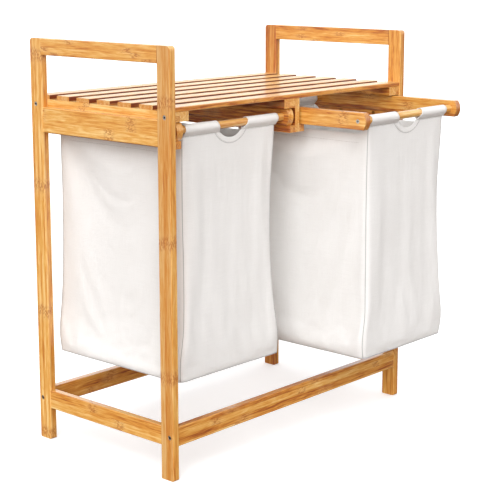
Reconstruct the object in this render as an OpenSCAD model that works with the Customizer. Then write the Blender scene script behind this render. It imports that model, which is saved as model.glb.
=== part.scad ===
// Two-bay laundry sorter. A slatted bamboo stand carries two pull-out bag frames, and a cloth bag
// hangs from the two dowels of each frame.
// Millimetres, +Z up, front towards -Y. The origin is on the floor, in the middle of the whole
// footprint, which includes the right-hand bag frame where it is left pulled out.

/* [Stand] */
// Width over the legs
stand_w = 640; // [600:10:720]
// Depth over the legs
stand_d = 345; // [320:5:400]
// Height over the handle bars
stand_h = 730; // [700:10:800]
// Thickness of a leg and of its handle bar, across the stand
leg_t = 14; // [12:1:18]
// Depth of a leg, front to back
leg_d = 29; // [26:1:36]
// Height of a handle bar
handle_h = 29; // [24:1:36]
// Radius of the outer top corners of the side frames
corner_r = 8; // [2:1:12]
// How far aprons and stretchers sit behind the leg faces
inset = 1.5; // [0.5:0.5:3]
// Height of the side aprons
apron_h = 44; // [36:1:50]
// Height of the low stretchers
stretcher_h = 34; // [26:1:44]
// Floor to the underside of the low stretchers
stretcher_z = 59; // [40:1:80]

/* [Shelf] */
// Floor to the underside of the slats
shelf_z = 623; // [600:1:640]
// Width of a slat
slat_w = 32; // [24:1:36]
// Thickness of a slat
slat_t = 8; // [7:1:12]
// Height of the battens under the slats
batten_h = 16; // [14:1:20]
// Width of the two side battens
batten_w = 31; // [28:1:36]
// Thickness of the centre divider
divider_t = 12; // [12:1:16]
// Width of the runner ledges that the bag frames slide on
ledge_w = 13; // [11:1:16]
// Height of the runner ledges
ledge_h = 12.5; // [10:0.5:16]

/* [Bag frames] */
// Free space at each side of a bag frame
side_gap = 4; // [2:0.5:5]
// Thickness of a rail
rail_t = 14; // [12:1:16]
// Height of a rail
rail_h = 30; // [26:1:32]
// Radius of the convex rail ends, seen from the side
rail_end_r = 22; // [18:1:40]
// Diameter of the dowels
dowel_d = 14; // [12:1:16]
// Dowel axis to the rail's end
dowel_inset = 17; // [14:1:24]
// How far the left bag frame stands pulled out
pull_left = 0; // [0:2:200]
// How far the right bag frame stands pulled out
pull_right = 144; // [100:2:200]

/* [Bags] */
// Width of a bag at its mouth
bag_w_top = 234; // [200:2:250]
// Width of a bag at its bottom
bag_w_low = 250; // [200:2:262]
// How much deeper the bag is at its bottom than between the dowels
bag_bulge = 10; // [0:1:14]
// Floor to the underside of the bags
bag_z = 155; // [110:5:300]
// Thickness of the bag wall
cloth_t = 1.6; // [1.2:0.2:3]
// Radius of the bag's vertical corners
bag_corner_r = 10; // [6:1:20]
// Half width of the grip cut-out at the dowel's axis
grip_half_w = 35; // [25:1:50]
// Depth of the grip cut-out below the dowel's axis
grip_depth = 23; // [16:1:30]

/* [Fasteners] */
// Shank diameter of the leg bolts
bolt_d = 5; // [4:0.5:6]
// Head diameter of the leg bolts
bolt_head_d = 8; // [7:0.5:9]
// Length of the leg bolts
bolt_l = 35; // [30:1:36]
// Shank diameter of the wood screws
screw_d = 3.5; // [3:0.5:4]
// Head diameter of the wood screws
screw_head_d = 7.5; // [6:0.5:8]
// Diameter of the wooden pins in the glued side frames
pin_d = 8; // [6:1:8]
// Length of those pins
pin_l = 30; // [20:2:34]

/* [Hidden] */
$fn = 48;

LEFT = -1;
RIGHT = 1;
FRONT = -1;
REAR = 1;

slat_count = 7;                     // one node each
edge_r = 1.5;                       // eased long edges of the bars
foot_r = 3;                         // eased foot corners
slide_gap = 0.3;                    // rail above its ledge
head_gap = 1.2;                     // rail below the battens
rail_edge_r = 2;                    // eased long edges of the rails
socket_depth = 5;                   // how far a dowel is let into its rail
cloth_gap = 0.3;                    // sleeve round its dowel
front_rise = 15;                    // front and rear panels above the rails' underside
hem_drop = 12;                      // side hems below the rails' underside
hem_end = 14;                       // from a dowel's axis to the end of the side hems

leg_in_x = stand_w/2 - leg_t;       // inner face of a leg
leg_in_y = stand_d/2 - leg_d;       // end of the bars between two legs
bar_t = leg_t - inset;              // aprons and side stretchers
bar_x = leg_in_x + bar_t/2;         // their middle plane
run_l = stand_d - 2*inset;          // parts that run the full depth
slat_pitch = (run_l - slat_w)/(slat_count - 1);
apron_z = shelf_z - batten_h + 3 - apron_h;
handle_z = stand_h - handle_h;

rail_z = shelf_z - batten_h - head_gap - rail_h;
ledge_z = rail_z - slide_gap - ledge_h;
bay_w = leg_in_x - divider_t/2;
frame_w = bay_w - 2*side_gap;
frame_x = divider_t/2 + bay_w/2;    // middle of a bay
rail_x = frame_w/2 - rail_t/2;
dowel_y = run_l/2 - dowel_inset;
dowel_z = rail_z + rail_h/2;
dowel_l = frame_w - 2*rail_t + 2*socket_depth;

batten_x = leg_in_x - batten_w/2;
batten_screw_x = leg_in_x - batten_w + 5;
ledge_x = leg_in_x - ledge_w/2;
ledge_in_x = divider_t/2 + ledge_w/2;
centre_batten_w = batten_w - 2;
centre_batten_x = -divider_t/2 - centre_batten_w/2;

bolt_upper = [stand_d/2 - 12.5, shelf_z - batten_h/2];
bolt_lower = [stand_d/2 - inset - leg_t/2, stretcher_z + stretcher_h/2];
pin_spots = [
    [handle_z + handle_h/2 - 7, stand_w/2 - leg_t/2],
    [handle_z + handle_h/2 + 7, stand_w/2 - leg_t/2],
    [apron_z + 11, bar_x],
    [apron_z + apron_h - 13, bar_x],
    [stretcher_z + stretcher_h/2 - 9, bar_x],
    [stretcher_z + stretcher_h/2 + 9, bar_x]];

stand_y = (pull_right + run_l/2 - stand_d/2)/2;    // puts the whole footprint round the origin
grip_r = (grip_half_w*grip_half_w + grip_depth*grip_depth)/(2*grip_depth);

BAMBOO = [0.86, 0.64, 0.36];
BAMBOO_PALE = [0.93, 0.77, 0.52];
BAMBOO_DARK = [0.76, 0.50, 0.25];
CANVAS = [0.93, 0.92, 0.89];
STEEL = [0.80, 0.80, 0.80];
BLACK_STEEL = [0.12, 0.11, 0.11];

// ---- shapes ----

// Rectangle with round corners, centred
module rounded_rect(w, h, r) {
    square([w - 2*r, h], center = true);
    square([w, h - 2*r], center = true);
    for (sx = [-1, 1], sy = [-1, 1])
        translate([sx*(w/2 - r), sy*(h/2 - r)]) circle(r = r);
}

// Eased bar along Y, t wide and h high, centred
module bar_along_y(t, h, l, r = edge_r)
    rotate([90, 0, 0]) linear_extrude(height = l, center = true) rounded_rect(t, h, r);

// Eased bar along X, t deep and h high, centred
module bar_along_x(t, h, l, r = edge_r)
    rotate([0, 90, 0]) linear_extrude(height = l, center = true) rounded_rect(h, t, r);

// Extrudes a side view, drawn in Y and Z, to a slab t thick, centred in X
module side_view(t)
    rotate([90, 0, 90]) linear_extrude(height = t, center = true) children();

// Countersunk wood screw: the head's flat face is at the origin and the shank runs along -Z
module wood_screw(l) {
    head_h = (screw_head_d - screw_d)/2;
    translate([0, 0, -head_h]) cylinder(d1 = screw_d, d2 = screw_head_d, h = head_h);
    translate([0, 0, -l]) cylinder(d = screw_d, h = l);
}

// Cross recess of a wood screw, 1.2 deep
module cross_recess()
    for (a = [0, 90])
        rotate([0, 0, a]) cube([screw_head_d*0.55, 0.9, 2.4], center = true);

module on_stand() translate([0, stand_y, 0]) children();

module on_bag_frame(side)
    translate([side*frame_x, stand_y - (side == LEFT ? pull_left : pull_right), 0]) children();

// ---- hardware, used for the pieces and for their holes ----

// One leg bolt, its head sunk in the leg's outer face
module leg_bolt(side, end, spot)
    translate([side*(stand_w/2), end*spot[0], spot[1]])
        rotate([0, -90*side, 0]) children();

module leg_bolt_shape() {
    head_h = 3;
    recess = 0.4;
    translate([0, 0, recess]) cylinder(d = bolt_head_d, h = head_h);
    translate([0, 0, recess]) cylinder(d = bolt_d, h = bolt_l);
}

module leg_bolt_hole() {
    leg_bolt_shape();
    translate([0, 0, -1]) cylinder(d = bolt_head_d, h = 2);
}

module leg_bolt_holes(side, end, spots = [bolt_upper, bolt_lower])
    for (spot = spots) leg_bolt(side, end, spot) leg_bolt_hole();

// Wooden pins across the joint between the bars and a leg
module pins(side, end, spots)
    for (spot = spots)
        translate([side*spot[1], end*leg_in_y, spot[0]])
            rotate([90, 0, 0]) cylinder(d = pin_d, h = pin_l, center = true);

function slat_y(i) = (i - 1 - (slat_count - 1)/2)*slat_pitch;

// Screws up through one batten into the slats
module batten_screws(x)
    for (i = [1:slat_count])
        translate([x, slat_y(i), shelf_z - batten_h]) rotate([180, 0, 0])
            wood_screw(batten_h + slat_t - 2);

// Screws through one ledge, from the face at x towards the direction dir
module ledge_screws(x, dir, ys)
    for (y = ys)
        translate([x, y, ledge_z + ledge_h/2]) rotate([0, -90*dir, 0]) wood_screw(22);

side_ledge_ys = [-120, -40, 40, 120];
centre_left_ys = [-100, -35, 40, 115];
centre_right_ys = [-110, -45, 50, 125];

module all_ledge_screws() {
    ledge_screws(-leg_in_x + ledge_w, -1, side_ledge_ys);
    ledge_screws(leg_in_x - ledge_w, 1, side_ledge_ys);
    ledge_screws(-divider_t/2 - ledge_w, 1, centre_left_ys);
    ledge_screws(divider_t/2 + ledge_w, -1, centre_right_ys);
}

// Screws through the two rails into the dowel ends, in a bag frame's own place
module dowel_screws()
    for (side = [-1, 1], end = [-1, 1])
        translate([side*frame_w/2, end*dowel_y, dowel_z]) rotate([0, 90*side, 0])
            wood_screw(rail_t + 22);

// ---- stand ----

// The waste outside a round corner of radius r; flip turns it for the other corners of a square
module corner_waste(at, flip, r)
    translate(at) mirror([flip[0], 0]) mirror([0, flip[1]]) difference() {
        translate([-1, -1]) square(r + 1);
        translate([r, r]) circle(r = r);
    }

// Side view of a front leg: round outer top corner, eased foot
module leg_outline()
    difference() {
        square([leg_d, stand_h]);
        corner_waste([0, stand_h], [0, 1], corner_r);
        corner_waste([0, 0], [0, 0], foot_r);
        corner_waste([leg_d, 0], [1, 0], foot_r);
    }

module leg_body(end)
    mirror([0, end == REAR ? 1 : 0, 0])
        translate([0, -stand_d/2, 0])
            intersection() {
                translate([0, leg_d/2, 0])
                    linear_extrude(height = stand_h) rounded_rect(leg_t, leg_d, edge_r);
                side_view(leg_t) leg_outline();
            }

module leg(side, end)
    color(BAMBOO_PALE) on_stand() difference() {
        translate([side*(stand_w - leg_t)/2, 0, 0]) leg_body(end);
        leg_bolt_holes(side, end);
        pins(side, end, pin_spots);
    }

module handle_bar(side)
    color(BAMBOO) on_stand() difference() {
        translate([side*(stand_w - leg_t)/2, 0, handle_z + handle_h/2])
            bar_along_y(leg_t, handle_h, 2*leg_in_y);
        for (end = [FRONT, REAR]) pins(side, end, [pin_spots[0], pin_spots[1]]);
    }

module side_apron(side)
    color(BAMBOO) on_stand() difference() {
        translate([side*bar_x, 0, apron_z + apron_h/2])
            bar_along_y(bar_t, apron_h, 2*leg_in_y);
        for (end = [FRONT, REAR]) pins(side, end, [pin_spots[2], pin_spots[3]]);
        all_ledge_screws();
    }

module side_stretcher(side)
    color(BAMBOO) on_stand() difference() {
        translate([side*bar_x, 0, stretcher_z + stretcher_h/2])
            bar_along_y(bar_t, stretcher_h, 2*leg_in_y);
        for (end = [FRONT, REAR]) pins(side, end, [pin_spots[4], pin_spots[5]]);
    }

module cross_stretcher(end)
    color(BAMBOO) on_stand() difference() {
        translate([0, end*bolt_lower[0], stretcher_z + stretcher_h/2])
            bar_along_x(leg_t, stretcher_h, 2*leg_in_x);
        for (side = [LEFT, RIGHT]) leg_bolt_holes(side, end, [bolt_lower]);
    }

module shelf_slat(i)
    color(BAMBOO_PALE) on_stand() difference() {
        translate([0, slat_y(i), shelf_z + slat_t/2])
            bar_along_x(slat_w, slat_t, 2*leg_in_x);
        for (x = [-batten_screw_x, centre_batten_x, batten_screw_x]) batten_screws(x);
    }

module side_batten(side)
    color(BAMBOO_DARK) on_stand() difference() {
        translate([side*batten_x, 0, shelf_z - batten_h/2])
            cube([batten_w, run_l, batten_h], center = true);
        batten_screws(side*batten_screw_x);
        for (end = [FRONT, REAR]) leg_bolt_holes(side, end, [bolt_upper]);
    }

module centre_batten()
    color(BAMBOO_DARK) on_stand() difference() {
        translate([centre_batten_x, 0, shelf_z - batten_h/2])
            cube([centre_batten_w, run_l, batten_h], center = true);
        batten_screws(centre_batten_x);
    }

module centre_divider()
    color(BAMBOO_DARK) on_stand() difference() {
        translate([-divider_t/2, -run_l/2, ledge_z])
            cube([divider_t, run_l, shelf_z - ledge_z]);
        all_ledge_screws();
    }

module runner(x)
    color(BAMBOO_DARK) on_stand() difference() {
        translate([x, 0, ledge_z + ledge_h/2])
            cube([ledge_w, run_l, ledge_h], center = true);
        all_ledge_screws();
    }

module frame_pins()
    color(BAMBOO_DARK) on_stand()
        for (side = [LEFT, RIGHT], end = [FRONT, REAR]) pins(side, end, pin_spots);

module leg_bolts()
    color(BLACK_STEEL) on_stand()
        for (side = [LEFT, RIGHT], end = [FRONT, REAR], spot = [bolt_upper, bolt_lower])
            leg_bolt(side, end, spot) difference() {
                leg_bolt_shape();
                cylinder(d = bolt_head_d/2, h = 2.4, $fn = 6);
            }

module slat_screws()
    color(STEEL) on_stand()
        for (x = [-batten_screw_x, centre_batten_x, batten_screw_x]) batten_screws(x);

module runner_screws()
    color(STEEL) on_stand() all_ledge_screws();

// ---- bag frames ----

// Side view of a rail: a long bar with convex ends
module rail_outline()
    intersection() {
        square([run_l, rail_h], center = true);
        union() {
            square([run_l - 2*rail_end_r, 2*rail_end_r], center = true);
            for (end = [-1, 1]) translate([end*(run_l/2 - rail_end_r), 0]) circle(r = rail_end_r);
        }
    }

module rail(side, place)
    color(BAMBOO) on_bag_frame(side) difference() {
        translate([place*rail_x, 0, rail_z + rail_h/2]) intersection() {
            side_view(rail_t) rail_outline();
            bar_along_y(rail_t, rail_h, run_l, rail_edge_r);
        }
        for (end = [FRONT, REAR]) dowel_shape(end);
        dowel_screws();
    }

module dowel_shape(end)
    translate([0, end*dowel_y, dowel_z])
        rotate([0, 90, 0]) cylinder(d = dowel_d, h = dowel_l, center = true);

module dowel(side, end)
    color(BAMBOO) on_bag_frame(side) difference() {
        dowel_shape(end);
        dowel_screws();
    }

module rail_screws(side)
    color(STEEL) on_bag_frame(side) difference() {
        dowel_screws();
        for (place = [-1, 1], end = [-1, 1])
            translate([place*frame_w/2, end*dowel_y, dowel_z]) rotate([0, 90, 0]) cross_recess();
    }

// ---- bags ----

// Block with round vertical corners that widens from its top to its bottom
module bag_block(shrink, z0, z1)
    hull() {
        translate([0, 0, z0]) linear_extrude(height = 1)
            rounded_rect(bag_w_low - 2*shrink, 2*dowel_y + bag_bulge - 2*shrink,
                bag_corner_r - shrink);
        translate([0, 0, z1 - 1]) linear_extrude(height = 1)
            rounded_rect(bag_w_top - 2*shrink, 2*dowel_y + cloth_t - 2*shrink,
                bag_corner_r - shrink);
    }

// Round body on a dowel's axis: the outside of a sleeve, or its inside
module sleeve(end, r, l)
    translate([0, end*dowel_y, dowel_z])
        rotate([0, 90, 0]) cylinder(r = r, h = l, center = true);

// Half-moon grip cut-outs through the front and the rear sleeve
module grip_cutouts()
    translate([0, 0, dowel_z - grip_depth + grip_r])
        rotate([90, 0, 0]) cylinder(r = grip_r, h = run_l + 40, center = true);

module bag(side)
    color(CANVAS) on_bag_frame(side)
        difference() {
            union() {
                difference() {
                    bag_block(0, bag_z, rail_z + front_rise);
                    bag_block(cloth_t, bag_z + cloth_t, rail_z + front_rise + 2);
                    translate([0, 0, rail_z - hem_drop + 50])
                        cube([frame_w, 2*(dowel_y - hem_end), 100], center = true);
                }
                for (end = [FRONT, REAR])
                    sleeve(end, dowel_d/2 + cloth_gap + cloth_t, bag_w_top);
            }
            for (end = [FRONT, REAR]) sleeve(end, dowel_d/2 + cloth_gap, frame_w);
            grip_cutouts();
        }

leg(LEFT, FRONT);  // leg_front_left
leg(LEFT, REAR);  // leg_rear_left
leg(RIGHT, FRONT);  // leg_front_right
leg(RIGHT, REAR);  // leg_rear_right
handle_bar(LEFT);  // handle_bar_left
handle_bar(RIGHT);  // handle_bar_right
side_apron(LEFT);  // side_apron_left
side_apron(RIGHT);  // side_apron_right
side_stretcher(LEFT);  // side_stretcher_left
side_stretcher(RIGHT);  // side_stretcher_right
cross_stretcher(FRONT);  // front_stretcher
cross_stretcher(REAR);  // rear_stretcher
shelf_slat(1);  // shelf_slat_1
shelf_slat(2);  // shelf_slat_2
shelf_slat(3);  // shelf_slat_3
shelf_slat(4);  // shelf_slat_4
shelf_slat(5);  // shelf_slat_5
shelf_slat(6);  // shelf_slat_6
shelf_slat(7);  // shelf_slat_7
side_batten(LEFT);  // shelf_batten_left
centre_batten();  // shelf_batten_centre
side_batten(RIGHT);  // shelf_batten_right
centre_divider();
runner(-ledge_x);  // runner_left
runner(-ledge_in_x);  // runner_centre_left
runner(ledge_in_x);  // runner_centre_right
runner(ledge_x);  // runner_right
frame_pins();
leg_bolts();
slat_screws();
runner_screws();
rail(LEFT, LEFT);  // left_rail_outer
rail(LEFT, RIGHT);  // left_rail_inner
dowel(LEFT, FRONT);  // left_dowel_front
dowel(LEFT, REAR);  // left_dowel_rear
rail_screws(LEFT);  // left_rail_screws
bag(LEFT);  // left_bag
rail(RIGHT, LEFT);  // right_rail_inner
rail(RIGHT, RIGHT);  // right_rail_outer
dowel(RIGHT, FRONT);  // right_dowel_front
dowel(RIGHT, REAR);  // right_dowel_rear
rail_screws(RIGHT);  // right_rail_screws
bag(RIGHT);  // right_bag
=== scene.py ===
"""Looks of the two-bag laundry sorter: laminated bamboo, canvas bags, lights and camera.
Everything is in metres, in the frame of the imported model."""

import math

import bpy
import numpy as np
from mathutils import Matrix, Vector, noise
from mathutils.bvhtree import BVHTree


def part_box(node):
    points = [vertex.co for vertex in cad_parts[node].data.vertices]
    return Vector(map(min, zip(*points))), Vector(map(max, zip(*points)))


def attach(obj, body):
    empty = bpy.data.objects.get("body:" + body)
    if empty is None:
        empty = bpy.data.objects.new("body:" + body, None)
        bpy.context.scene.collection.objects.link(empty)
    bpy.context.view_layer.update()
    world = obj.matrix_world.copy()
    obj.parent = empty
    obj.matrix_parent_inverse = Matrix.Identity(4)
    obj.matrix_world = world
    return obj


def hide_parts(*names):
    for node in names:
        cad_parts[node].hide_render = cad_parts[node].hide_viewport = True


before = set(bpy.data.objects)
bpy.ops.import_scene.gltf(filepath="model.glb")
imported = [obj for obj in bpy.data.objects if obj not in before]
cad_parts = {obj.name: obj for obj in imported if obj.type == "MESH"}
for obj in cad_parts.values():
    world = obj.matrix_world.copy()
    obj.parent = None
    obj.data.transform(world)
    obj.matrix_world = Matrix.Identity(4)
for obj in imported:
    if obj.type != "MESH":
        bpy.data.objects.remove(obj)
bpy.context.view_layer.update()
scene = bpy.context.scene

SIDES = ("left", "right")
ENDS = {"front": -1.0, "rear": 1.0}     # which way each end of a bag faces, along Y
MM = 0.001


def middle(node):
    low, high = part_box(node)
    return (low + high) / 2


# ---------------------------------------------------------------- node graphs

def srgb(red, green, blue):
    """0-255 display colour to linear RGBA."""
    out = []
    for value in (red, green, blue):
        value /= 255
        out.append(value / 12.92 if value <= 0.04045 else ((value + 0.055) / 1.055) ** 2.4)
    return (*out, 1.0)


class Graph:
    """A new material and short calls for its nodes."""

    def __init__(self, name):
        self.material = bpy.data.materials.new(name)
        self.material.use_nodes = True
        self.tree = self.material.node_tree
        self.tree.nodes.clear()
        self.shader = self.add("ShaderNodeBsdfPrincipled")
        out = self.add("ShaderNodeOutputMaterial")
        self.tree.links.new(self.shader.outputs[0], out.inputs["Surface"])
        self.coords = self.add("ShaderNodeTexCoord")

    def add(self, kind, **settings):
        made = self.tree.nodes.new(kind)
        for key, value in settings.items():
            setattr(made, key, value)
        return made

    def feed(self, socket, value):
        if isinstance(value, bpy.types.NodeSocket):
            self.tree.links.new(value, socket)
        else:
            socket.default_value = value

    def math(self, operation, *values):
        made = self.add("ShaderNodeMath", operation=operation)
        for socket, value in zip(made.inputs, values):
            self.feed(socket, value)
        return made.outputs[0]

    def split(self, vector):
        made = self.add("ShaderNodeSeparateXYZ")
        self.feed(made.inputs[0], vector)
        return made.outputs

    def join(self, x, y, z):
        made = self.add("ShaderNodeCombineXYZ")
        for socket, value in zip(made.inputs, (x, y, z)):
            self.feed(socket, value)
        return made.outputs[0]

    def random(self, vector):
        made = self.add("ShaderNodeTexWhiteNoise", noise_dimensions="3D")
        self.feed(made.inputs["Vector"], vector)
        return made.outputs["Value"]

    def noise(self, vector, scale=1.0, detail=2.0, rough=0.5, distort=0.0):
        made = self.add("ShaderNodeTexNoise", noise_dimensions="3D")
        self.feed(made.inputs["Vector"], vector)
        made.inputs["Scale"].default_value = scale
        made.inputs["Detail"].default_value = detail
        made.inputs["Roughness"].default_value = rough
        made.inputs["Distortion"].default_value = distort
        return made.outputs[0]

    def ramp(self, value, *stops):
        """Value through a colour ramp of (position, colour) stops."""
        made = self.add("ShaderNodeValToRGB")
        band = made.color_ramp
        while len(band.elements) < len(stops):
            band.elements.new(0.5)
        for element, (position, colour) in zip(band.elements, stops):
            element.position = position
            element.color = colour
        self.feed(made.inputs[0], value)
        return made.outputs[0]

    def step(self, value, low, high):
        """Smooth 0 to 1 as value goes from low to high."""
        made = self.add("ShaderNodeMapRange", interpolation_type="SMOOTHSTEP")
        for socket, number in zip(made.inputs, (value, low, high, 0.0, 1.0)):
            self.feed(socket, number)
        return made.outputs[0]

    def mix(self, factor, first, second):
        made = self.add("ShaderNodeMix", data_type="RGBA")
        self.feed(made.inputs[0], factor)
        self.feed(made.inputs[6], first)
        self.feed(made.inputs[7], second)
        return made.outputs[2]

    def bump(self, height, distance):
        made = self.add("ShaderNodeBump")
        made.inputs["Strength"].default_value = 1.0
        made.inputs["Distance"].default_value = distance
        self.feed(made.inputs["Height"], height)
        self.tree.links.new(made.outputs[0], self.shader.inputs["Normal"])

    def set(self, **sockets):
        """Feeds the shader's inputs, named with underscores for spaces."""
        for key, value in sockets.items():
            self.feed(self.shader.inputs[key.replace("_", " ").title().replace("Ior", "IOR")], value)


# ---------------------------------------------------------------- materials

BAMBOO_BURNT = srgb(112, 46, 10)
BAMBOO_DEEP = srgb(166, 88, 28)
BAMBOO_ORANGE = srgb(205, 134, 50)
BAMBOO_HONEY = srgb(221, 163, 79)
BAMBOO_PALE = srgb(239, 202, 134)
KNUCKLE = srgb(166, 92, 30)
END_GRAIN = srgb(176, 104, 44)
KNUCKLE_GAP = 0.23          # from one knuckle to the next


def bamboo(name, along, seed, tone, strip, dim=0.0, ends=0.35, coat=0.8):
    """Laminated bamboo whose fibres run along one axis. tone shifts the piece towards pale (+) or dark
    (-), partly its own colour and partly painted shade; strip is the lamella's size across the other two
    axes in millimetres. dim darkens the faces that look along the first of those axes, as painted shade;
    ends is how much end grain shows, and coat how glossy the lacquer is."""
    g = Graph(name)
    xyz = list(g.split(g.coords.outputs["Object"]))
    normal = list(g.split(g.coords.outputs["Normal"]))
    index = "XYZ".index(along)
    run, facing = xyz.pop(index), g.math("ABSOLUTE", normal.pop(index))
    first, second = (g.math("ADD", axis, 0.0013 * seed + 1.0) for axis in xyz)
    shaded_faces = g.step(g.math("ABSOLUTE", normal[0]), 0.6, 0.9)

    column = g.math("DIVIDE", first, strip[0] * MM)
    layer = g.math("DIVIDE", second, strip[1] * MM)
    lamella = g.join(g.math("FLOOR", column), g.math("FLOOR", layer), float(seed))
    pick = g.random(lamella)
    shift = g.random(g.join(pick, 3.7, float(seed)))
    drift = g.math("ADD", run, g.math("MULTIPLY", shift, 3.0))

    # fine fibres, broader flames, and slow change along the strip
    fibre = g.noise(g.join(g.math("MULTIPLY", drift, 15.0), g.math("MULTIPLY", first, 330.0),
                           g.math("MULTIPLY", second, 330.0)), detail=4.0, rough=0.7, distort=0.4)
    flame = g.noise(g.join(g.math("MULTIPLY", drift, 15.0), g.math("MULTIPLY", first, 110.0),
                           g.math("MULTIPLY", second, 110.0)), detail=2.0, distort=2.2)
    slow = g.noise(g.join(g.math("MULTIPLY", drift, 7.0), pick, shift), detail=1.0)
    tint = g.math("ADD", g.math("MULTIPLY", pick, 0.34), 0.48 + tone)
    for layer_noise, amount in ((fibre, 1.5), (flame, 0.60), (slow, 0.40)):
        tint = g.math("ADD", tint, g.math("MULTIPLY", g.math("SUBTRACT", layer_noise, 0.5), amount))
    # painted shade: faces that look along the first cross axis are made darker by dim
    tint = g.math("SUBTRACT", tint, g.math("MULTIPLY", shaded_faces, dim))
    wood = g.ramp(tint, (0.0, BAMBOO_BURNT), (0.20, BAMBOO_DEEP), (0.44, BAMBOO_ORANGE),
                  (0.68, BAMBOO_HONEY), (1.0, BAMBOO_PALE))

    # knuckles: short flecks with a pale stretch beside them, in line across a leg but not a bar
    stagger = 0.035 if along == "Z" else 0.45
    place = g.math("ADD", g.math("DIVIDE", run, KNUCKLE_GAP), g.math("MULTIPLY", shift, stagger))
    cell = g.math("FRACT", g.math("ADD", place, (0.37 * seed) % 1.0))
    away = g.math("MULTIPLY", g.math("ABSOLUTE", g.math("SUBTRACT", cell, 0.5)), KNUCKLE_GAP)
    patch = g.math("SUBTRACT", 1.0, g.step(away, 0.004, 0.017))
    fleck = g.noise(g.join(g.math("MULTIPLY", run, 190.0), g.math("MULTIPLY", first, 640.0),
                           g.math("MULTIPLY", second, 640.0)), detail=2.0)
    mark = g.math("MULTIPLY", patch, g.step(fleck, 0.42, 0.60))
    halo = g.math("SUBTRACT", 1.0, g.step(away, 0.006, 0.030))
    wood = g.mix(g.math("MULTIPLY", halo, 0.18), wood, BAMBOO_PALE)
    wood = g.mix(g.math("MULTIPLY", mark, 0.78), wood, KNUCKLE)

    # glue lines between the lamellas
    fraction = g.math("FRACT", column)
    line = g.math("SUBTRACT", 1.0, g.step(
        g.math("MINIMUM", fraction, g.math("SUBTRACT", 1.0, fraction)), 0.02, 0.07))
    wood = g.mix(g.math("MULTIPLY", line, 0.38), wood, BAMBOO_DEEP)

    # end grain, with the fibre bundles as dots
    dots = g.noise(g.coords.outputs["Object"], scale=1500.0, detail=1.0)
    grain = g.mix(g.math("MULTIPLY", g.step(dots, 0.50, 0.66), 0.55),
                  g.mix(0.5, END_GRAIN, wood), BAMBOO_DEEP)
    colour = g.mix(g.math("MULTIPLY", g.step(facing, 0.72, 0.92), ends), wood, grain)

    g.set(base_color=colour, roughness=g.math("ADD", 0.34, g.math("MULTIPLY", fibre, 0.22)))
    g.shader.inputs["Coat Weight"].default_value = coat
    g.shader.inputs["Coat Roughness"].default_value = 0.17
    relief = g.math("SUBTRACT", g.math("MULTIPLY", fibre, 0.6), g.math("MULTIPLY", line, 0.5))
    g.bump(relief, 0.00012)
    return g.material


def canvas(name, seed, light=1.0):
    """Off-white plain-weave cotton, its colour scaled by light, which paints shade below 1. The weave
    follows the axes of whichever way the cloth faces.
    """
    g = Graph(name)
    x, y, z = g.split(g.coords.outputs["Object"])
    nx, ny, nz = (g.math("ABSOLUTE", n) for n in g.split(g.coords.outputs["Normal"]))
    side = g.math("GREATER_THAN", nx, ny)
    flat = g.math("GREATER_THAN", nz, 0.8)
    across = g.math("ADD", g.math("MULTIPLY", y, side),
                    g.math("MULTIPLY", x, g.math("SUBTRACT", 1.0, side)))
    down = g.math("ADD", g.math("MULTIPLY", z, g.math("SUBTRACT", 1.0, flat)),
                  g.math("MULTIPLY", g.math("ADD", y, x), g.math("MULTIPLY", flat, 0.7)))
    pitch = 0.00075
    turn = 2 * math.pi / pitch
    warp = g.math("SINE", g.math("MULTIPLY", across, turn))
    weft = g.math("SINE", g.math("MULTIPLY", down, turn))
    weave = g.math("MULTIPLY", warp, weft)
    slub_down = g.noise(g.join(g.math("MULTIPLY", across, 1500.0),
                               g.math("MULTIPLY", down, 25.0), float(seed)))
    slub_across = g.noise(g.join(g.math("MULTIPLY", across, 25.0),
                                 g.math("MULTIPLY", down, 1500.0), seed + 5.0))
    slub = g.math("ADD", slub_down, slub_across)
    cloud = g.noise(g.coords.outputs["Object"], scale=9.0, detail=3.0)

    tone = g.math("ADD", g.math("MULTIPLY", slub, 0.35), g.math("MULTIPLY", weave, 0.10))
    tone = g.math("ADD", tone, g.math("MULTIPLY", cloud, 0.45))
    dark = tuple(v * light for v in srgb(229, 227, 224)[:3]) + (1.0,)
    pale = tuple(v * light for v in srgb(247, 246, 244)[:3]) + (1.0,)
    g.set(base_color=g.ramp(tone, (0.25, dark), (0.85, pale)), roughness=0.88)
    g.shader.inputs["Sheen Weight"].default_value = 0.12
    g.shader.inputs["Sheen Roughness"].default_value = 0.5
    g.shader.inputs["Specular IOR Level"].default_value = 0.25
    g.bump(g.math("ADD", weave, g.math("MULTIPLY", slub, 0.8)), 0.00012)
    return g.material


def thread(name):
    """Sewing thread: a twist of two plies."""
    g = Graph(name)
    x, y, z = g.split(g.coords.outputs["Object"])
    twist = g.math("SINE", g.math("MULTIPLY", g.math("ADD", g.math("ADD", x, y), z), 9000.0))
    tone = g.math("ADD", 0.5, g.math("MULTIPLY", twist, 0.5))
    g.set(base_color=g.ramp(tone, (0.0, srgb(176, 172, 166)), (1.0, srgb(212, 208, 202))), roughness=0.7)
    return g.material


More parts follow.
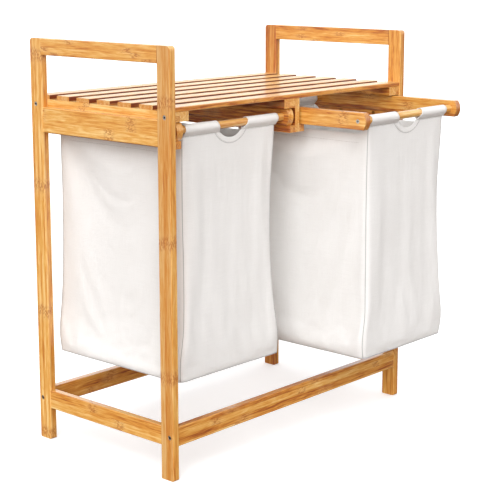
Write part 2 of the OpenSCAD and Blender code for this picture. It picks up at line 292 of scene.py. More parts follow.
def metal(name, bright, dull, heads=(), face=(), radius=0.0):
    """Plated steel with fine brushing and dull spots. heads are the (y, z) axes of screw heads that
    look along X, face the x of their flat faces, radius their size: recesses and rims are painted dark,
    as painted shade."""
    g = Graph(name)
    brushed = g.noise(g.coords.outputs["Object"], scale=2600.0, detail=2.0)
    worn = g.noise(g.coords.outputs["Object"], scale=420.0, detail=2.0)
    base = g.mix(g.math("MULTIPLY", worn, 0.5), bright, dull)
    x, y, z = g.split(g.coords.outputs["Object"])
    if heads:
        near = 1.0
        for head_y, head_z in heads:
            gap = g.math("SQRT", g.math("ADD", g.math("POWER", g.math("SUBTRACT", y, head_y), 2.0),
                                        g.math("POWER", g.math("SUBTRACT", z, head_z), 2.0)))
            near = g.math("MINIMUM", near, gap)
        depth = 1.0
        for face_x in face:
            depth = g.math("MINIMUM", depth, g.math("ABSOLUTE", g.math("SUBTRACT", x, face_x)))
        # painted shade: dark in the sockets below the flat faces and in a ring at each head's rim
        shade = g.math("MAXIMUM", g.step(depth, 0.15 * MM, 0.6 * MM),
                       g.step(near, radius * 0.80, radius * 0.96))
        base = g.mix(shade, base, srgb(58, 42, 32))
    g.set(base_color=base, roughness=g.math("ADD", 0.24, g.math("MULTIPLY", brushed, 0.18)))
    g.shader.inputs["Metallic"].default_value = 1.0
    g.bump(brushed, 0.00003)
    return g.material


def head_axes(node):
    """The (y, z) axes of the fasteners in a node: the middles of its separate bodies."""
    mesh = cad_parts[node].data
    owner = list(range(len(mesh.vertices)))

    def find(i):
        while owner[i] != i:
            owner[i] = owner[owner[i]]
            i = owner[i]
        return i

    for edge in mesh.edges:
        a, b = find(edge.vertices[0]), find(edge.vertices[1])
        owner[a] = b
    bodies = {}
    for vertex in mesh.vertices:
        bodies.setdefault(find(vertex.index), []).append(vertex.co)
    middles = set()
    for body in bodies.values():
        ys, zs = [v.y for v in body], [v.z for v in body]
        middles.add((round((min(ys) + max(ys)) / 2, 4), round((min(zs) + max(zs)) / 2, 4)))
    return sorted(middles)


def studio_floor():
    g = Graph("studio_floor")
    patch = g.noise(g.coords.outputs["Object"], scale=0.7)
    g.set(base_color=g.mix(g.math("MULTIPLY", patch, 0.2), srgb(247, 247, 247), srgb(243, 243, 243)),
          roughness=0.9)
    g.shader.inputs["Emission Color"].default_value = (1.0, 1.0, 1.0, 1.0)
    g.shader.inputs["Emission Strength"].default_value = 0.30
    return g.material


def paint(node, material):
    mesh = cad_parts[node].data
    mesh.materials.clear()
    mesh.materials.append(material)


# Per node: the axis its fibres run along, its tone and its lamella size across the other two axes
# in millimetres; the tone is partly the piece's own colour and partly painted shade, lower for pieces
# that sit in shade. Where it differs from the usual: how much painted shade darkens its faces along the
# first of those axes, how much end grain shows, and how glossy the lacquer is.
LEG, BAR, CROSS, HANDLE = (7.0, 5.4), (7.0, 22.0), (7.0, 11.0), (7.0, 8.0)
SLAT, BATTEN, RAIL = (5.3, 8.0), (16.0, 8.0), (7.0, 15.0)
PLAIN = (5.2, 7.0)
TIMBER = {
    "leg_front_left": ("Z", 0.04, LEG), "leg_rear_left": ("Z", 0.0, LEG),
    "leg_front_right": ("Z", -0.19, LEG), "leg_rear_right": ("Z", -0.22, LEG),
    "handle_bar_left": ("Y", -0.12, HANDLE), "handle_bar_right": ("Y", -0.14, HANDLE),
    "side_apron_left": ("Y", 0.03, BAR), "side_apron_right": ("Y", -0.16, BAR),
    "side_stretcher_left": ("Y", 0.0, BAR), "side_stretcher_right": ("Y", -0.06, BAR),
    "front_stretcher": ("X", -0.12, CROSS), "rear_stretcher": ("X", -0.16, CROSS),
    "shelf_batten_left": ("Y", 0.12, BATTEN),
    "shelf_batten_centre": ("Y", -0.06, BATTEN, 0.60, 0.3),
    "shelf_batten_right": ("Y", 0.0, BATTEN, 0.40, 0.15),
    "centre_divider": ("Y", 0.02, (6.0, 20.0), 0.62, 0.2),
    "runner_left": ("Y", -0.20, PLAIN), "runner_right": ("Y", -0.30, PLAIN),
    "runner_centre_left": ("Y", -0.10, PLAIN, 0.30),
    "runner_centre_right": ("Y", -0.10, PLAIN, 0.30),
    "frame_pins": ("Y", 0.0, PLAIN),
    "left_rail_outer": ("Y", 0.0, RAIL, 0.30), "left_rail_inner": ("Y", 0.03, RAIL, 0.48, 0.1),
    "right_rail_inner": ("Y", -0.20, RAIL, 0.0, 0.95),
    "right_rail_outer": ("Y", -0.26, RAIL, 0.0, 0.95),
    "shelf_slat_1": ("X", 0.12, SLAT, 0.40, 0.5, 0.4),
}
for number in range(2, 8):
    TIMBER[f"shelf_slat_{number}"] = ("X", 0.08, SLAT, 1.1, 0.8, 0.35)
for side in SIDES:
    for end in ENDS:
        TIMBER[f"{side}_dowel_{end}"] = ("X", -0.06, (9.0, 9.0))

for seed, (node, (along, *look)) in enumerate(sorted(TIMBER.items())):
    paint(node, bamboo(f"bamboo_{node}", along, seed + 1, *look))

ZINC = srgb(226, 226, 223), srgb(196, 196, 192)
YELLOW_ZINC_AND_SHADE = srgb(176, 124, 62), srgb(134, 92, 44)
# darker yellow zinc: on the runner screws it is painted shade, as they sit in shade under the rails
for node in ("slat_screws", "runner_screws"):
    paint(node, metal(f"zinc_{node}", *YELLOW_ZINC_AND_SHADE))
HEAD_R = {"leg_bolts": 4.0 * MM, "left_rail_screws": 3.75 * MM, "right_rail_screws": 3.75 * MM}
for node, head_r in HEAD_R.items():
    low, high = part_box(node)
    paint(node, metal(f"zinc_{node}", *ZINC, head_axes(node), (low.x, high.x), head_r))


# ---------------------------------------------------------------- meshes

def new_object(name, points, faces, material):
    mesh = bpy.data.meshes.new(name)
    mesh.from_pydata([tuple(p) for p in points], [], [tuple(f) for f in faces])
    mesh.validate()
    mesh.update()
    mesh.polygons.foreach_set("use_smooth", [True] * len(mesh.polygons))
    mesh.materials.append(material)
    made = bpy.data.objects.new(name, mesh)
    scene.collection.objects.link(made)
    return made


def grid_faces(rows, columns, start=0, closed=False, flip=False):
    """Quads of a grid of points in row order; closed joins its last column to its first."""
    faces = []
    for r in range(rows - 1):
        for c in range(columns if closed else columns - 1):
            d = (c + 1) % columns
            quad = (start + r * columns + c, start + r * columns + d,
                    start + (r + 1) * columns + d, start + (r + 1) * columns + c)
            faces.append(quad[::-1] if flip else quad)
    return faces


def thicken(obj, thickness, offset):
    """Solidify, applied, so that the piece is a closed mesh."""
    wall = obj.modifiers.new("wall", "SOLIDIFY")
    wall.thickness = thickness
    wall.offset = offset
    wall.use_even_offset = True
    wall.use_quality_normals = True
    apply_modifiers(obj)


def apply_modifiers(obj):
    depsgraph = bpy.context.evaluated_depsgraph_get()
    mesh = bpy.data.meshes.new_from_object(obj.evaluated_get(depsgraph))
    obj.modifiers.clear()
    old = obj.data
    obj.data = mesh
    mesh.name = obj.name
    bpy.data.meshes.remove(old)


# Rings of a stitch: place along it, girth and lift off the cloth, as shares of length and radius
STITCH_RINGS = ((-0.5, 0.05, -0.9), (-0.4, 0.8, -0.2), (0.0, 1.0, 0.25), (0.4, 0.8, -0.2),
                (0.5, 0.05, -0.9))


class Parts:
    """Collects the points and faces of many small bodies for one mesh."""

    def __init__(self):
        self.points, self.faces = [], []

    def grid(self, points, flip=False):
        rows, columns = points.shape[:2]
        self.faces.extend(grid_faces(rows, columns, len(self.points), flip=flip))
        self.points.extend(points.reshape(-1, 3))

    def tube(self, rings, loop=False):
        """A closed body through rings of points: its ends are flat, or joined if it is a loop."""
        count, sides = rings.shape[:2]
        start = len(self.points)
        faces = []
        for r in range(count if loop else count - 1):
            here, there = start + r * sides, start + (r + 1) % count * sides
            for c in range(sides):
                d = (c + 1) % sides
                faces.append((here + c, here + d, there + d, there + c))
        if not loop:
            last = start + (count - 1) * sides
            faces.append(tuple(start + c for c in reversed(range(sides))))
            faces.append(tuple(last + c for c in range(sides)))
        # the first side of the middle ring tells whether the faces look outward
        ring, after = rings[count // 2], rings[count // 2 + 1]
        normal = np.cross(ring[1] - ring[0], after[0] - ring[0])
        if np.dot(normal, ring[:2].mean(0) - ring.mean(0)) < 0:
            faces = [face[::-1] for face in faces]
        self.points.extend(rings.reshape(-1, 3))
        self.faces.extend(faces)

    def stitch(self, at, along, out, length, radius):
        """A short thread lying on the cloth: a six-sided spindle with rounded ends."""
        across = out.cross(along).normalized()
        start, sides, rings = len(self.points), 6, len(STITCH_RINGS)
        for step, girth, lift in STITCH_RINGS:
            centre = at + along * (step * length) + out * (lift * radius)
            for k in range(sides):
                angle = 2 * math.pi * k / sides
                spoke = across * math.cos(angle) + out * math.sin(angle)
                self.points.append(centre + spoke * (radius * girth))
        last = start + (rings - 1) * sides
        self.faces.extend(grid_faces(rings, sides, start, closed=True))
        self.faces.append(tuple(start + k for k in range(sides)))
        self.faces.append(tuple(last + k for k in reversed(range(sides))))

    def make(self, name, material):
        return new_object(name, self.points, self.faces, material)


def curve_through(knots):
    """A smooth function through (position, value) knots, by cubic Hermite pieces."""
    xs, ys = (np.array(v, float) for v in zip(*sorted(knots)))
    slopes = np.gradient(ys, xs)

    def at(x):
        x = np.clip(x, xs[0], xs[-1])
        i = np.clip(np.searchsorted(xs, x, side="right") - 1, 0, len(xs) - 2)
        width = xs[i + 1] - xs[i]
        t = (x - xs[i]) / width
        return ((2 * t**3 - 3 * t**2 + 1) * ys[i] + (t**3 - 2 * t**2 + t) * width * slopes[i]
                + (3 * t**2 - 2 * t**3) * ys[i + 1] + (t**3 - t**2) * width * slopes[i + 1])

    return at


def smooth_step(t):
    t = np.clip(t, 0.0, 1.0)
    return t * t * (3 - 2 * t)


# ---------------------------------------------------------------- bags

CLOTH = 0.8 * MM            # canvas thickness
SEAM_DROP = 12.0 * MM       # dowel axis to the sleeve's seam
SLEEVE_R = 7.9 * MM         # middle of the sleeve's cloth round the dowel
GRIP_R = 38.1 * MM          # half-moon grip cut-out
GRIP_UP = 15.1 * MM         # its centre above the dowel axis
HEM = 9.5 * MM              # hem round the cut-out
HEM_DROP = 11.0 * MM        # top of the side panels below the rails
SIDE_HEM = 16.0 * MM        # hem of the side panels
STITCH = 2.6 * MM
STITCH_GAP = 3.6 * MM
THREAD_R = 0.30 * MM
FRONT_COLUMNS = 34
SIDE_COLUMNS = 42
ROWS = 60
BASE_SEAM = 7.0 * MM        # bottom seam above the lowest cloth
CORNER_R = 0.008            # upright corners at the top, and how much rounder they get below
CORNER_GAIN = 0.006
HEM_SAG = 0.6 * MM          # of the side panels' top edge
FULL_LEFT = 0.055           # fuller half way up at the left and rear than at the front, as shares
FULL_REAR = 0.030
HEM_SHIFT = 1.0 * MM        # most that hanging moves the stiff hems, and the cloth below them
CLOTH_SHIFT = 7.0 * MM
HANG_FRAMES = 24
HANGING = dict(quality=6, mass=0.05, tension_stiffness=40, compression_stiffness=30,
               shear_stiffness=15, bending_stiffness=1.5, air_damping=3.0,
               vertex_group_mass="sewn", pin_stiffness=1.0)
HEM_POINTS = 49             # along the hem of a grip cut-out
HEM_ROWS = 4                # rows of the fine grid that a side hem covers
AWAY_X, AWAY_Y = 0.2, 0.3   # where rays start, outside the bag's sides and its ends


def panel_path(half, radius, share):
    """Along and outward place of a point at share (0 to 1) of a panel's width, which runs from
    the middle of one round corner to the middle of the next."""
    arc = math.pi / 4 * radius
    length = 2 * (half - radius) + 2 * arc
    d = share * length
    if d < arc:
        angle = (arc - d) / radius
        return -(half - radius) - radius * math.sin(angle), -radius * (1 - math.cos(angle))
    if d > length - arc:
        angle = (d - length + arc) / radius
        return (half - radius) + radius * math.sin(angle), -radius * (1 - math.cos(angle))
    return -(half - radius) + d - arc, 0.0


class Bag:
    """One bag: its measures from the CAD and its cloth as a grid."""

    def __init__(self, side, seed, width, depth):
        self.side, self.seed, self.width, self.depth = side, seed, width, depth
        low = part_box(f"{side}_bag")[0]
        self.x = middle(f"{side}_bag").x
        self.y = middle(f"{side}_bag").y
        self.low_z = low.z + BASE_SEAM
        self.hem_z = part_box(f"{side}_rail_inner")[0].z - HEM_DROP
        self.dowel_z = middle(f"{side}_dowel_front").z
        self.dowel_y = {end: middle(f"{side}_dowel_{end}").y for end in ENDS}
        self.seam_z = self.dowel_z - SEAM_DROP
        self.grip_z = self.dowel_z + GRIP_UP

    def rim_z(self, x):
        """Height of the panel's top edge at x from the bag's middle: seam line or grip rim."""
        inside = abs(x) < GRIP_R
        rim = self.grip_z - math.sqrt(GRIP_R**2 - x * x) if inside else self.seam_z
        return min(rim, self.seam_z)

    def fold(self, u, z, panel):
        """How far the cloth stands out in soft folds, at u along the panel: broad, fine and
        creased ones, and low down some that pull slantwise."""
        s = self.seed + 13.7 * panel
        broad = noise.noise(Vector((u / 0.075, z / 0.33, s)))
        fine = noise.noise(Vector((u / 0.026, z / 0.12, s + 4.0)))
        creep = noise.noise(Vector((u / 0.011, z / 0.035, s + 9.0)))
        pull = noise.noise(Vector(((u + 0.55 * z) / 0.036, (z - 0.55 * u) / 0.16, s + 15.0)))
        low = float(smooth_step((0.46 - z) / 0.20))
        return 2.6 * MM * broad + 1.0 * MM * fine + 0.2 * MM * creep + 1.8 * MM * low * pull

    def grid(self):
        """Rows from the top edge to the bottom seam, columns round the bag from the front left."""
        panels = (("front", FRONT_COLUMNS), ("right", SIDE_COLUMNS),
                  ("rear", FRONT_COLUMNS), ("left", SIDE_COLUMNS))
        points = np.zeros((ROWS, 2 * (FRONT_COLUMNS + SIDE_COLUMNS), 3))
        column = 0
        for number, (panel, count) in enumerate(panels):
            for k in range(count):
                for row in range(ROWS):
                    points[row, column] = self.place(panel, number, k / count, row / (ROWS - 1))
                column += 1
        return points

    def place(self, panel, number, share, t):
        """The point at share of the panel's width and t of its height, from its top edge."""
        broadside = panel in ("front", "rear")
        from_corner = min(share, 1 - share)
        if broadside:
            along, _ = panel_path(float(self.width(self.seam_z)), CORNER_R, share)
            top = self.rim_z(along)
        else:
            rise = smooth_step(from_corner / 0.07)
            sag = HEM_SAG * math.sin(math.pi * share) ** 2
            top = self.seam_z + (self.hem_z - self.seam_z - sag) * float(rise)
        z = top + (self.low_z - top) * t
        a, b = float(self.width(z)), float(self.depth(z))
        radius = CORNER_R + CORNER_GAIN * float(smooth_step((self.seam_z - z) / 0.4))
        along, out = panel_path(a if broadside else b, radius, share)

        # folds fade out at the seams, but less at the free top edge of the side panels
        loose = float(smooth_step((top - z) / 0.10))
        if not broadside:
            loose = 0.35 + 0.65 * loose
        corner = float(smooth_step(from_corner / 0.10))
        near_base = float(smooth_step((z - self.low_z) / 0.03))
        out += self.fold(along, z, number) * loose * corner * (0.35 + 0.65 * near_base)
        middle_share = 1 - (2 * share - 1) ** 2
        if broadside:
            out += 3.0 * MM * middle_share * math.sin(math.pi * t) ** 2
        else:
            out -= 4.0 * MM * middle_share * (1 - t) ** 2
        if panel == "front":
            x, y = along, -(b + out)
        elif panel == "right":
            x, y = a + out, along
        elif panel == "rear":
            x, y = -along, b + out
        else:
            x, y = -(a + out), -along
        height = (z - self.low_z) / (self.seam_z - self.low_z)
        full = math.sin(math.pi * min(max(height, 0.0), 1.0))
        x *= 1 + FULL_LEFT * full if x < 0 else 1
        y *= 1 + FULL_REAR * full if y > 0 else 1
        return self.x + x, self.y + y, z


def base_grid(ring, drop):
    """The base panel inside a closed ring of points, hanging a little below its seam."""
    f, s = FRONT_COLUMNS, SIDE_COLUMNS
    front = ring[0:f + 1]
    right = ring[f:f + s + 1]
    rear = ring[f + s:2 * f + s + 1][::-1]
    left = np.vstack([ring[2 * f + s:], ring[:1]])[::-1]
    u = np.linspace(0, 1, f + 1)[None, :, None]
    v = np.linspace(0, 1, s + 1)[:, None, None]
    patch = ((1 - v) * front[None] + v * rear[None] + (1 - u) * left[:, None] + u * right[:, None]
             - (1 - u) * (1 - v) * front[0] - u * (1 - v) * front[-1]
             - (1 - u) * v * rear[0] - u * v * rear[-1])
    width = np.linalg.norm(front[-1] - front[0])
    length = np.linalg.norm(left[-1] - left[0])
    edge_u = np.minimum(u, 1 - u) * width
    edge_v = np.minimum(v, 1 - v) * length
    hang = (1 - np.exp(-edge_u / 0.010)) * (1 - np.exp(-edge_v / 0.010))
    patch[..., 2] -= drop * hang[..., 0]
    return patch


def bag_mesh(walls, base):
    """Points and faces of walls and base as one skin, and the vertex of each point of the base,
    whose rim is the last row of the walls."""
    rows, columns = walls.shape[:2]
    s, f = base.shape[0] - 1, base.shape[1] - 1
    ring = (rows - 1) * columns
    vertex = np.zeros((s + 1, f + 1), int)
    vertex[1:-1, 1:-1] = rows * columns + np.arange((s - 1) * (f - 1)).reshape(s - 1, f - 1)
    for c in range(f + 1):
        vertex[0, c] = ring + c
        vertex[s, c] = ring + 2 * f + s - c
    for r in range(s + 1):
        vertex[r, 0] = ring + (2 * f + 2 * s - r) % columns
        vertex[r, f] = ring + f + r
    vertex_rows = vertex.tolist()
    faces = grid_faces(rows, columns, closed=True, flip=True)
    faces += [(here[c], below[c], below[c + 1], here[c + 1])
              for here, below in zip(vertex_rows, vertex_rows[1:]) for c in range(f)]
    points = np.vstack([walls.reshape(-1, 3), base[1:-1, 1:-1].reshape(-1, 3)])
    return points, faces, vertex


def sewn_columns(bag, walls):
    """The columns of the front and rear panels that hang from a sleeve's seam."""
    panels = [start + k for start in (0, FRONT_COLUMNS + SIDE_COLUMNS)
              for k in range(FRONT_COLUMNS + 1)]
    return [c for c in panels if walls[0, c, 2] > bag.seam_z - 0.4 * MM]


def hang_cloth(bag, walls, base):
    """Lets the cloth hang under gravity, held at the sleeves' seams and the bottom seam, and
    returns walls and base as they end."""
    rows, columns = walls.shape[:2]
    vertices, faces, base_vertex = bag_mesh(walls, base)
    obj = new_object("hanging", vertices, faces, cloth_material)
    group = obj.vertex_groups.new(name="sewn")
    group.add(sewn_columns(bag, walls), 1.0, "REPLACE")
    group.add([(rows - 1) * columns + c for c in range(columns)], 1.0, "REPLACE")
    sim = obj.modifiers.new("cloth", "CLOTH")
    for key, value in HANGING.items():
        setattr(sim.settings, key, value)
    sim.collision_settings.use_collision = False
    sim.collision_settings.use_self_collision = False
    sim.point_cache.frame_start = 1
    sim.point_cache.frame_end = HANG_FRAMES
    for number in range(1, HANG_FRAMES + 1):
        scene.frame_set(number)
    hung = obj.evaluated_get(bpy.context.evaluated_depsgraph_get())
    moved = np.zeros(len(vertices) * 3)
    hung.to_mesh().vertices.foreach_get("co", moved)
    hung.to_mesh_clear()
    bpy.data.objects.remove(obj)
    scene.frame_set(1)

    limit = np.full((len(vertices), 1), CLOTH_SHIFT)
    row = np.arange(rows * columns) // columns
    limit[:rows * columns, 0] = HEM_SHIFT + (CLOTH_SHIFT - HEM_SHIFT) * smooth_step(row / 12)
    shift = moved.reshape(-1, 3) - vertices
    reach = np.linalg.norm(shift, axis=1, keepdims=True)
    ended = vertices + shift * np.minimum(1.0, limit / np.maximum(reach, 1e-9))
    return ended[:rows * columns].reshape(rows, columns, 3), ended[base_vertex]


def refine(points, closed):
    """Twice as many rows and columns, on cubic curves through the grid's points."""

    def along(grid, wrap):
        if wrap:
            before, after, far = np.roll(grid, 1, 1), np.roll(grid, -1, 1), np.roll(grid, -2, 1)
            half = (-before + 9 * grid + 9 * after - far) / 16
            return np.stack([grid, half], 2).reshape(grid.shape[0], -1, 3)
        first, last = 2 * grid[:, :1] - grid[:, 1:2], 2 * grid[:, -1:] - grid[:, -2:-1]
        padded = np.concatenate([first, grid, last], 1)
        half = (-padded[:, :-3] + 9 * padded[:, 1:-2] + 9 * padded[:, 2:-1] - padded[:, 3:]) / 16
        out = np.zeros((grid.shape[0], grid.shape[1] * 2 - 1, 3))
        out[:, ::2], out[:, 1::2] = grid, half
        return out

    wide = along(points, closed)
    return along(wide.transpose(1, 0, 2), False).transpose(1, 0, 2)


def sleeve_section(count):
    """Outward and upward places of the sleeve's cloth round a dowel, from seam to seam."""
    turn = math.acos(SLEEVE_R / SEAM_DROP)
    start = -math.pi / 2 + turn
    end = 3 * math.pi / 2 - turn
    straight = math.sqrt(SEAM_DROP**2 - SLEEVE_R**2)
    arc = (end - start) * SLEEVE_R
    total = 2 * straight + arc
    tangent = (SLEEVE_R * math.cos(start), SLEEVE_R * math.sin(start))
    section = []
    for k in range(count):
        d = total * k / (count - 1)
        if d <= straight:
            share = d / straight
            section.append((tangent[0] * share, -SEAM_DROP + (tangent[1] + SEAM_DROP) * share))
        elif d >= total - straight:
            share = (total - d) / straight
            section.append((-tangent[0] * share, -SEAM_DROP + (tangent[1] + SEAM_DROP) * share))
        else:
            angle = start + (d - straight) / SLEEVE_R
            section.append((SLEEVE_R * math.cos(angle), SLEEVE_R * math.sin(angle)))
    return section


def sleeve_grid(bag, end, hand):
    """Half a sleeve, from the grip cut-out to the sleeve's end, hand -1 left and 1 right."""
    section = sleeve_section(41)
    columns = 25
    out = ENDS[end]
    end_x = float(bag.width(bag.seam_z)) - 1.0 * MM
    grid = np.zeros((len(section), columns, 3))
    for r, (outward, up) in enumerate(section):
        z = bag.dowel_z + up
        cut = math.sqrt(max(GRIP_R**2 - (bag.grip_z - z) ** 2, 0.0))
        for c in range(columns):
            x = cut + (end_x - cut) * c / (columns - 1)
            ripple = noise.noise(Vector((x / 0.02 * hand, r / 6.0, bag.seed + out)))
            loose = noise.noise(Vector((x / 0.05 * hand, r / 14.0, bag.seed + 8 + out)))
            swell = 1 + 0.03 * max(ripple, -0.2) + 0.05 * max(loose, 0.0)
            grid[r, c] = (bag.x + hand * x, bag.dowel_y[end] + out * outward * swell,
                          bag.dowel_z + up * (swell if up > -SLEEVE_R else 1.0))
    return grid


def ribbon(parts, first, second, out, lift, thickness, loop=False):
    """A closed flat band between two matching lines, lifted off the cloth along out. Its edges
    are rolled over a narrow strip, so that the face between them stays flat."""
    first, second, out = (np.array(v, float) for v in (first, second, out))
    profile = [(0.0, 0.0), (1.0, 0.0), (1.0, 0.5), (0.97, 0.9), (0.93, 1.0), (0.86, 1.0),
               (0.14, 1.0), (0.07, 1.0), (0.03, 0.9), (0.0, 0.5)]
    rings = np.stack([first + (second - first) * share + out * (lift + thickness * rise)
                      for share, rise in profile], 1)
    parts.tube(rings, loop)


def stitches(parts, line, outs):
    """Stitches along a line of points, each at its own gap, lying on the cloth."""
    line = np.array(line, float)
    steps = np.linalg.norm(np.diff(line, axis=0), axis=1)
    distance = np.concatenate([[0], np.cumsum(steps)])
    for d in np.arange(STITCH_GAP / 2, distance[-1] - STITCH / 2, STITCH_GAP):
        i = min(np.searchsorted(distance, d, side="right") - 1, len(line) - 2)
        share = (d - distance[i]) / max(steps[i], 1e-9)
        at = Vector(line[i] + (line[i + 1] - line[i]) * share)
        out = Vector(np.array(outs[i]) * (1 - share) + np.array(outs[i + 1]) * share).normalized()
        along = Vector(line[i + 1] - line[i]).normalized()
        parts.stitch(at + out * THREAD_R, along, out, STITCH, THREAD_R)


def on_cloth(tree, start, direction):
    """Where a ray from start meets the cloth, and the cloth's outward normal there."""
    hit, normal, _, _ = tree.ray_cast(Vector(start), Vector(direction))
    if hit is None:
        return None, None
    if normal.dot(Vector(direction)) > 0:
        normal = -normal
    return hit, normal


def trace(tree, starts, direction):
    """Where rays from starts meet the cloth, and its outward normals there."""
    line, outs = [], []
    for start in starts:
        hit, normal = on_cloth(tree, start, direction)
        if hit is not None:
            line.append(np.array(hit))
            outs.append(np.array(normal))
    return line, outs


def outward(bag, line, axes=(1, 1, 0)):
    """Unit vectors from the bag's middle to each point of a line, along the axes marked 1."""
    out = (line - np.array([bag.x, bag.y, 0])) * np.array(axes)
    return out / np.linalg.norm(out, axis=1, keepdims=True)


cloth_material = canvas("canvas_bag", 1)
sleeve_material = canvas("canvas_sleeve", 2, 1.03)
# seam lines in canvas at 0.55 of its light: painted shade along the seams and the hems' fold edges
seam_shade_material = canvas("canvas_seam_shade", 3, 0.55)
thread_material = thread("sewing_thread")


def edge_seams(bag, fine, seams):
    """A fine raised line down each corner and round the bottom, darker as painted shade along the seam.
    """
    f, s = 2 * FRONT_COLUMNS, 2 * SIDE_COLUMNS
    for c in (0, f, f + s, 2 * f + s):
        line = fine[:, c]
        out = outward(bag, line)
        across = np.cross(out, [0, 0, 1]) * 0.6 * MM
        ribbon(seams, line - across, line + across, out, -0.2 * MM, 0.8 * MM)
    low = fine[-1]
    up = np.array([0, 0, 0.7 * MM])
    ribbon(seams, low - up, low + up, outward(bag, low), -0.2 * MM, 0.8 * MM, loop=True)


def grip_hem(bag, end, tree, bands, seams, sewing):
    """The hem round a grip cut-out, below the sleeve: its band, its fold edge in painted shade and its
    stitches.
    """
    facing = ENDS[end]
    drop, edge = bag.grip_z - bag.seam_z, GRIP_R + HEM
    reach = math.acos(drop / edge)
    angles = [-reach + 2 * reach * k / (HEM_POINTS - 1) for k in range(HEM_POINTS)]
    inner, outer, sewn = [], [], []
    for angle in angles:
        near = min(abs(drop / math.cos(angle)), edge - 0.8 * MM)
        radii = max(GRIP_R + 0.3 * MM, near), edge, edge - 1.2 * MM
        for radius, store in zip(radii, (inner, outer, sewn)):
            x = bag.x + radius * math.sin(angle)
            z = min(bag.grip_z - radius * math.cos(angle), bag.seam_z - 0.3 * MM)
            hit, _ = on_cloth(tree, (x, bag.y + facing * AWAY_Y, z), (0, -facing, 0))
            store.append(np.array(Vector((x, bag.dowel_y[end], z)) if hit is None else hit))
    outs = [np.array([0.0, facing, 0.0])] * HEM_POINTS
    ribbon(bands, inner, outer, outs, 0.05 * MM, 0.35 * MM)
    fold_edge = [point + 0.85 * MM * np.array([math.sin(angle), 0.0, -math.cos(angle)])
                 for point, angle in zip(outer, angles)]
    ribbon(seams, outer, fold_edge, outs, -0.1 * MM, 0.35 * MM)
    stitches(sewing, [point + np.array([0, facing * 0.5 * MM, 0]) for point in sewn], outs)


def sleeve_stitches(bag, end, tree, sewing):
    """Stitches along a sleeve's seam, on both sides of the grip cut-out."""
    facing = ENDS[end]
    corner, clear = float(bag.width(bag.seam_z)) - 3 * MM, GRIP_R + HEM - 8 * MM
    for low_x, high_x in ((-corner, -clear), (clear, corner)):
        starts = [(bag.x + x, bag.y + facing * AWAY_Y, bag.seam_z - 1.5 * MM)
                  for x in np.linspace(low_x, high_x, 40)]
        stitches(sewing, *trace(tree, starts, (0, -facing, 0)))


def side_hems(bag, fine, tree, hems, sewing):
    """A folded band inside the top edge of each side panel, and the stitches through it."""
    for hand in (-1, 1):
        starts = [(bag.x + hand * AWAY_X, bag.y + y, bag.hem_z - SIDE_HEM)
                  for y in np.linspace(-0.132, 0.132, 90)]
        stitches(sewing, *trace(tree, starts, (-hand, 0, 0)))
    f, s = 2 * FRONT_COLUMNS, 2 * SIDE_COLUMNS
    for first in (f, 2 * f + s):
        picked = [(first + k) % fine.shape[1] for k in range(6, s - 5)]
        top, low = fine[0, picked], fine[HEM_ROWS, picked]
        ribbon(hems, top, low, -outward(bag, top, (1, 0, 0)), CLOTH + 0.1 * MM, 0.6 * MM)


def build_bag(bag):
    walls = bag.grid()
    base = base_grid(walls[-1], BASE_SEAM - 1.0 * MM)
    walls, base = hang_cloth(bag, walls, base)
    fine = refine(walls, True)
    points, faces, _ = bag_mesh(fine, refine(base, False))
    shell = new_object(f"{bag.side}_bag_cloth", points, faces, cloth_material)
    tree = BVHTree.FromPolygons([Vector(p) for p in points], faces)
    thicken(shell, CLOTH, -1.0)

    sleeves, hems, bands, seams, sewing = (Parts() for _ in range(5))
    edge_seams(bag, fine, seams)
    for end, facing in ENDS.items():
        for hand in (-1, 1):
            sleeves.grid(sleeve_grid(bag, end, hand), flip=(hand * facing < 0))
        grip_hem(bag, end, tree, bands, seams, sewing)
        sleeve_stitches(bag, end, tree, sewing)
    sleeve = sleeves.make(f"{bag.side}_bag_sleeves", sleeve_material)
    thicken(sleeve, CLOTH, 0.0)
    side_hems(bag, fine, tree, hems, sewing)

    hem = hems.make(f"{bag.side}_bag_side_hems", sleeve_material)
    band = bands.make(f"{bag.side}_bag_grip_hems", cloth_material)
    seam = seams.make(f"{bag.side}_bag_seam_shade", seam_shade_material)
    sewn_thread = sewing.make(f"{bag.side}_bag_stitching", thread_material)
    body = f"bag_frame_{bag.side}"
    for piece in (shell, sleeve, hem, band, seam, sewn_thread):
        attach(piece, body)
    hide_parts(f"{bag.side}_bag")
    base_area = 4 * float(bag.width(bag.low_z)) * float(bag.depth(bag.low_z))


# Half widths and half depths of the bags against height above the floor
BAG_WIDTH = {
    "left": ((0.155, 0.129), (0.19, 0.129), (0.25, 0.119), (0.345, 0.112), (0.45, 0.112),
             (0.58, 0.117), (0.60, 0.117)),
    "right": ((0.155, 0.121), (0.18, 0.126), (0.25, 0.119), (0.345, 0.113), (0.45, 0.111),
              (0.58, 0.115), (0.60, 0.115)),
}
BAG_DEPTH = {
    "left": ((0.155, 0.156), (0.20, 0.158), (0.30, 0.155), (0.45, 0.152), (0.579, 0.154),
             (0.60, 0.154)),
    "right": ((0.155, 0.156), (0.20, 0.159), (0.30, 0.156), (0.45, 0.152), (0.579, 0.154),
              (0.60, 0.154)),
}
FOLD_SEED = {"left": 2.0, "right": 31.0}
for side in SIDES:
    width, depth = curve_through(BAG_WIDTH[side]), curve_through(BAG_DEPTH[side])
    build_bag(Bag(side, FOLD_SEED[side], width, depth))


# ---------------------------------------------------------------- studio

STAND_Y = middle("shelf_slat_4").y      # middle of the stand, front to back

floor_mesh = bpy.data.meshes.new("floor")
radius, corners = 120.0, 96
floor_mesh.from_pydata(
    [(radius * math.cos(2 * math.pi * k / corners), radius * math.sin(2 * math.pi * k / corners), -0.0002)
     for k in range(corners)], [], [tuple(range(corners))])
floor_mesh.materials.append(studio_floor())
floor = bpy.data.objects.new("floor", floor_mesh)
floor.visible_diffuse = False       # what light comes from below is the world's lower half
floor.visible_glossy = False
scene.collection.objects.link(floor)

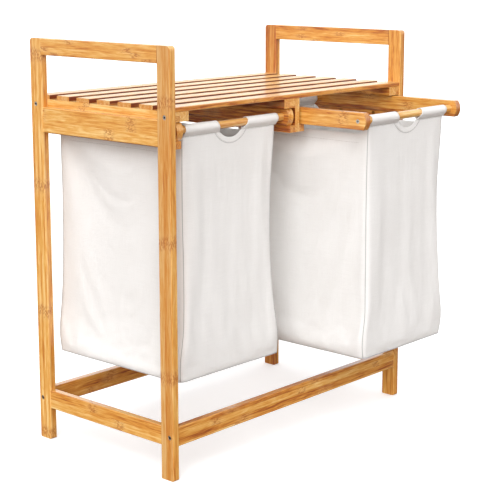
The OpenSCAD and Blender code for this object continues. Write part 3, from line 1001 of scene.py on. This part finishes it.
# A white room: bright walls, a softer ceiling, and a dim warm glow from below
world = bpy.data.worlds.new("studio")
world.use_nodes = True
tree = world.node_tree
direction = tree.nodes.new("ShaderNodeTexCoord")
height = tree.nodes.new("ShaderNodeSeparateXYZ")
upward = tree.nodes.new("ShaderNodeMapRange")
upward.inputs["From Min"].default_value, upward.inputs["From Max"].default_value = -1.0, 1.0
room = tree.nodes.new("ShaderNodeValToRGB")
GLOW, WALL, CEILING = (0.17, 0.11, 0.08, 1), (1.27, 1.27, 1.28, 1), (0.72, 0.72, 0.73, 1)
for position, colour in ((0.46, GLOW), (0.51, WALL), (0.62, WALL), (0.80, CEILING)):
    stop = room.color_ramp.elements.new(position)
    stop.color = colour
room.color_ramp.elements[0].color = GLOW
room.color_ramp.elements[-1].color = CEILING
tree.links.new(direction.outputs["Generated"], height.inputs[0])
tree.links.new(height.outputs[2], upward.inputs[0])
tree.links.new(upward.outputs[0], room.inputs[0])
tree.links.new(room.outputs[0], tree.nodes["Background"].inputs[0])
tree.nodes["Background"].inputs[1].default_value = 1.0
scene.world = world


def soft_sun(name, towards, strength, spread, colour=(1.0, 1.0, 1.0)):
    """A broad light from the direction of the vector towards."""
    light = bpy.data.lights.new(name, "SUN")
    light.energy = strength
    light.angle = math.radians(spread)
    light.color = colour
    lamp = bpy.data.objects.new(name, light)
    lamp.rotation_euler = Vector(towards).to_track_quat("Z", "Y").to_euler()
    scene.collection.objects.link(lamp)


soft_sun("key", (-0.60, -0.42, 0.42), 2.1, 50.0)
soft_sun("fill", (-0.80, -0.50, 0.22), 0.7, 90.0)
soft_sun("back", (0.70, 0.60, 0.55), 0.7, 90.0)

camera_data = bpy.data.cameras.new("camera")
camera_data.sensor_width = 36.0
camera_data.lens = 99.4
camera_data.shift_y = -0.06
camera_data.clip_start, camera_data.clip_end = 0.05, 100.0
camera = bpy.data.objects.new("camera", camera_data)
azimuth, elevation = math.radians(-48.2), math.radians(10.84)
back = Vector((math.sin(azimuth) * math.cos(elevation),
               -math.cos(azimuth) * math.cos(elevation), math.sin(elevation)))
camera.location = (-1.8736, -1.7339 + STAND_Y, 0.8706)
camera.rotation_euler = (-back).to_track_quat("-Z", "Y").to_euler()
scene.collection.objects.link(camera)
scene.camera = camera

scene.view_settings.view_transform = "Standard"
scene.view_settings.look = "None"
